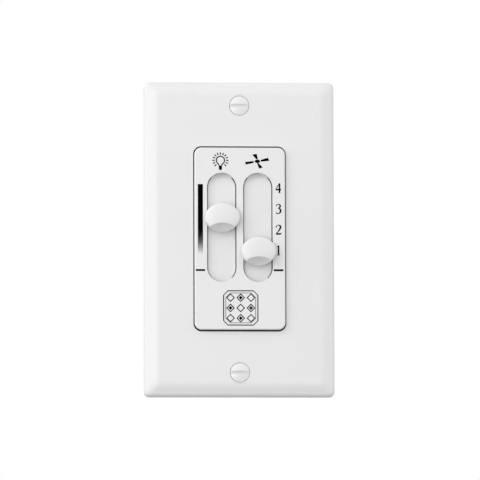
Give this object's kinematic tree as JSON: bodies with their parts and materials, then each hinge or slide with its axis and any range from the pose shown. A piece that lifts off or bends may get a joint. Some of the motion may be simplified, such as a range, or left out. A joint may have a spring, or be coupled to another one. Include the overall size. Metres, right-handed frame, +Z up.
{
  "type": "fan speed and light dimmer wall control",
  "caption": "Decorator wall control with two vertical sliders, one dims a light and one sets a ceiling fan's speed, on a screwed wall plate.",
  "frame": {"origin": "on the wall's surface, at the middle of the wall plate's back rim", "axes": "+X right seen from the front, +Y into the wall, +Z up along the sliders' travel"},
  "size_m": [0.069, 0.0405, 0.1142],
  "materials": {
    "plate_plastic": "smooth white moulded nylon, satin",
    "plate_screw_paint": "white enamelled steel",
    "frame_plastic": "smooth white moulding, satin",
    "knob_plastic": "white moulding, soft gloss",
    "saddle_steel": "bright spring steel",
    "strap_steel": "zinc plated sheet",
    "housing_plastic": "black thermoset moulding",
    "housing_screw_steel": "zinc plated",
    "board_laminate": "green coated laminate",
    "cover_steel": "tin plated sheet",
    "track_laminate": "brown phenolic laminate",
    "carriage_nylon": "natural nylon",
    "spring_bronze": "phosphor bronze strip",
    "switch_phenolic": "black phenolic moulding",
    "stud_brass": "stamped brass",
    "ferrite": "sintered ferrite",
    "copper_wire": "enamelled copper wire",
    "capacitor_case": "yellow moulded case",
    "resistor_body": "tan lacquered body with bands",
    "fuse_case": "white ceramic case",
    "triac_epoxy": "black epoxy on a tinned tab",
    "rivet_aluminium": "plain aluminium",
    "terminal_brass": "brass sheet",
    "ground_green": "green chromate finish"
  },
  "bodies": {
    "chassis": {"wall_plate": "plate_plastic", "plate_screws": "plate_screw_paint", "face_frame": "frame_plastic", "mounting_strap": "strap_steel", "housing": "housing_plastic", "housing_screws": "housing_screw_steel", "circuit_board": "board_laminate", "light_pot_case": "cover_steel", "light_pot_track": "track_laminate", "fan_switch_case": "switch_phenolic", "fan_switch_board": "track_laminate", "fan_switch_studs": "stud_brass", "fan_detent_spring": "spring_bronze", "filter_choke_core": "ferrite", "filter_choke_winding": "copper_wire", "speed_capacitors": "capacitor_case", "film_capacitor": "capacitor_case", "resistors": "resistor_body", "thermal_fuse": "fuse_case", "triac": "triac_epoxy", "triac_rivet": "rivet_aluminium", "terminal_plates": "terminal_brass", "terminal_screws": "terminal_brass", "ground_screw": "ground_green"},
    "light_slider": {"light_knob": "knob_plastic", "light_saddle": "saddle_steel", "light_pot_slider": "carriage_nylon", "light_pot_wiper": "spring_bronze"},
    "fan_slider": {"fan_knob": "knob_plastic", "fan_saddle": "saddle_steel", "fan_switch_slider": "carriage_nylon", "fan_switch_contact": "spring_bronze"}
  },
  "joints": [
    {"name": "light_slide", "type": "slide", "parent": "chassis", "child": "light_slider", "axis": [0, 0, 1], "range_m": [-0.01925, 0.0106]},
    {"name": "fan_slide", "type": "slide", "parent": "chassis", "child": "fan_slider", "axis": [0, 0, 1], "range_m": [-0.00705, 0.0228]}
  ]
}
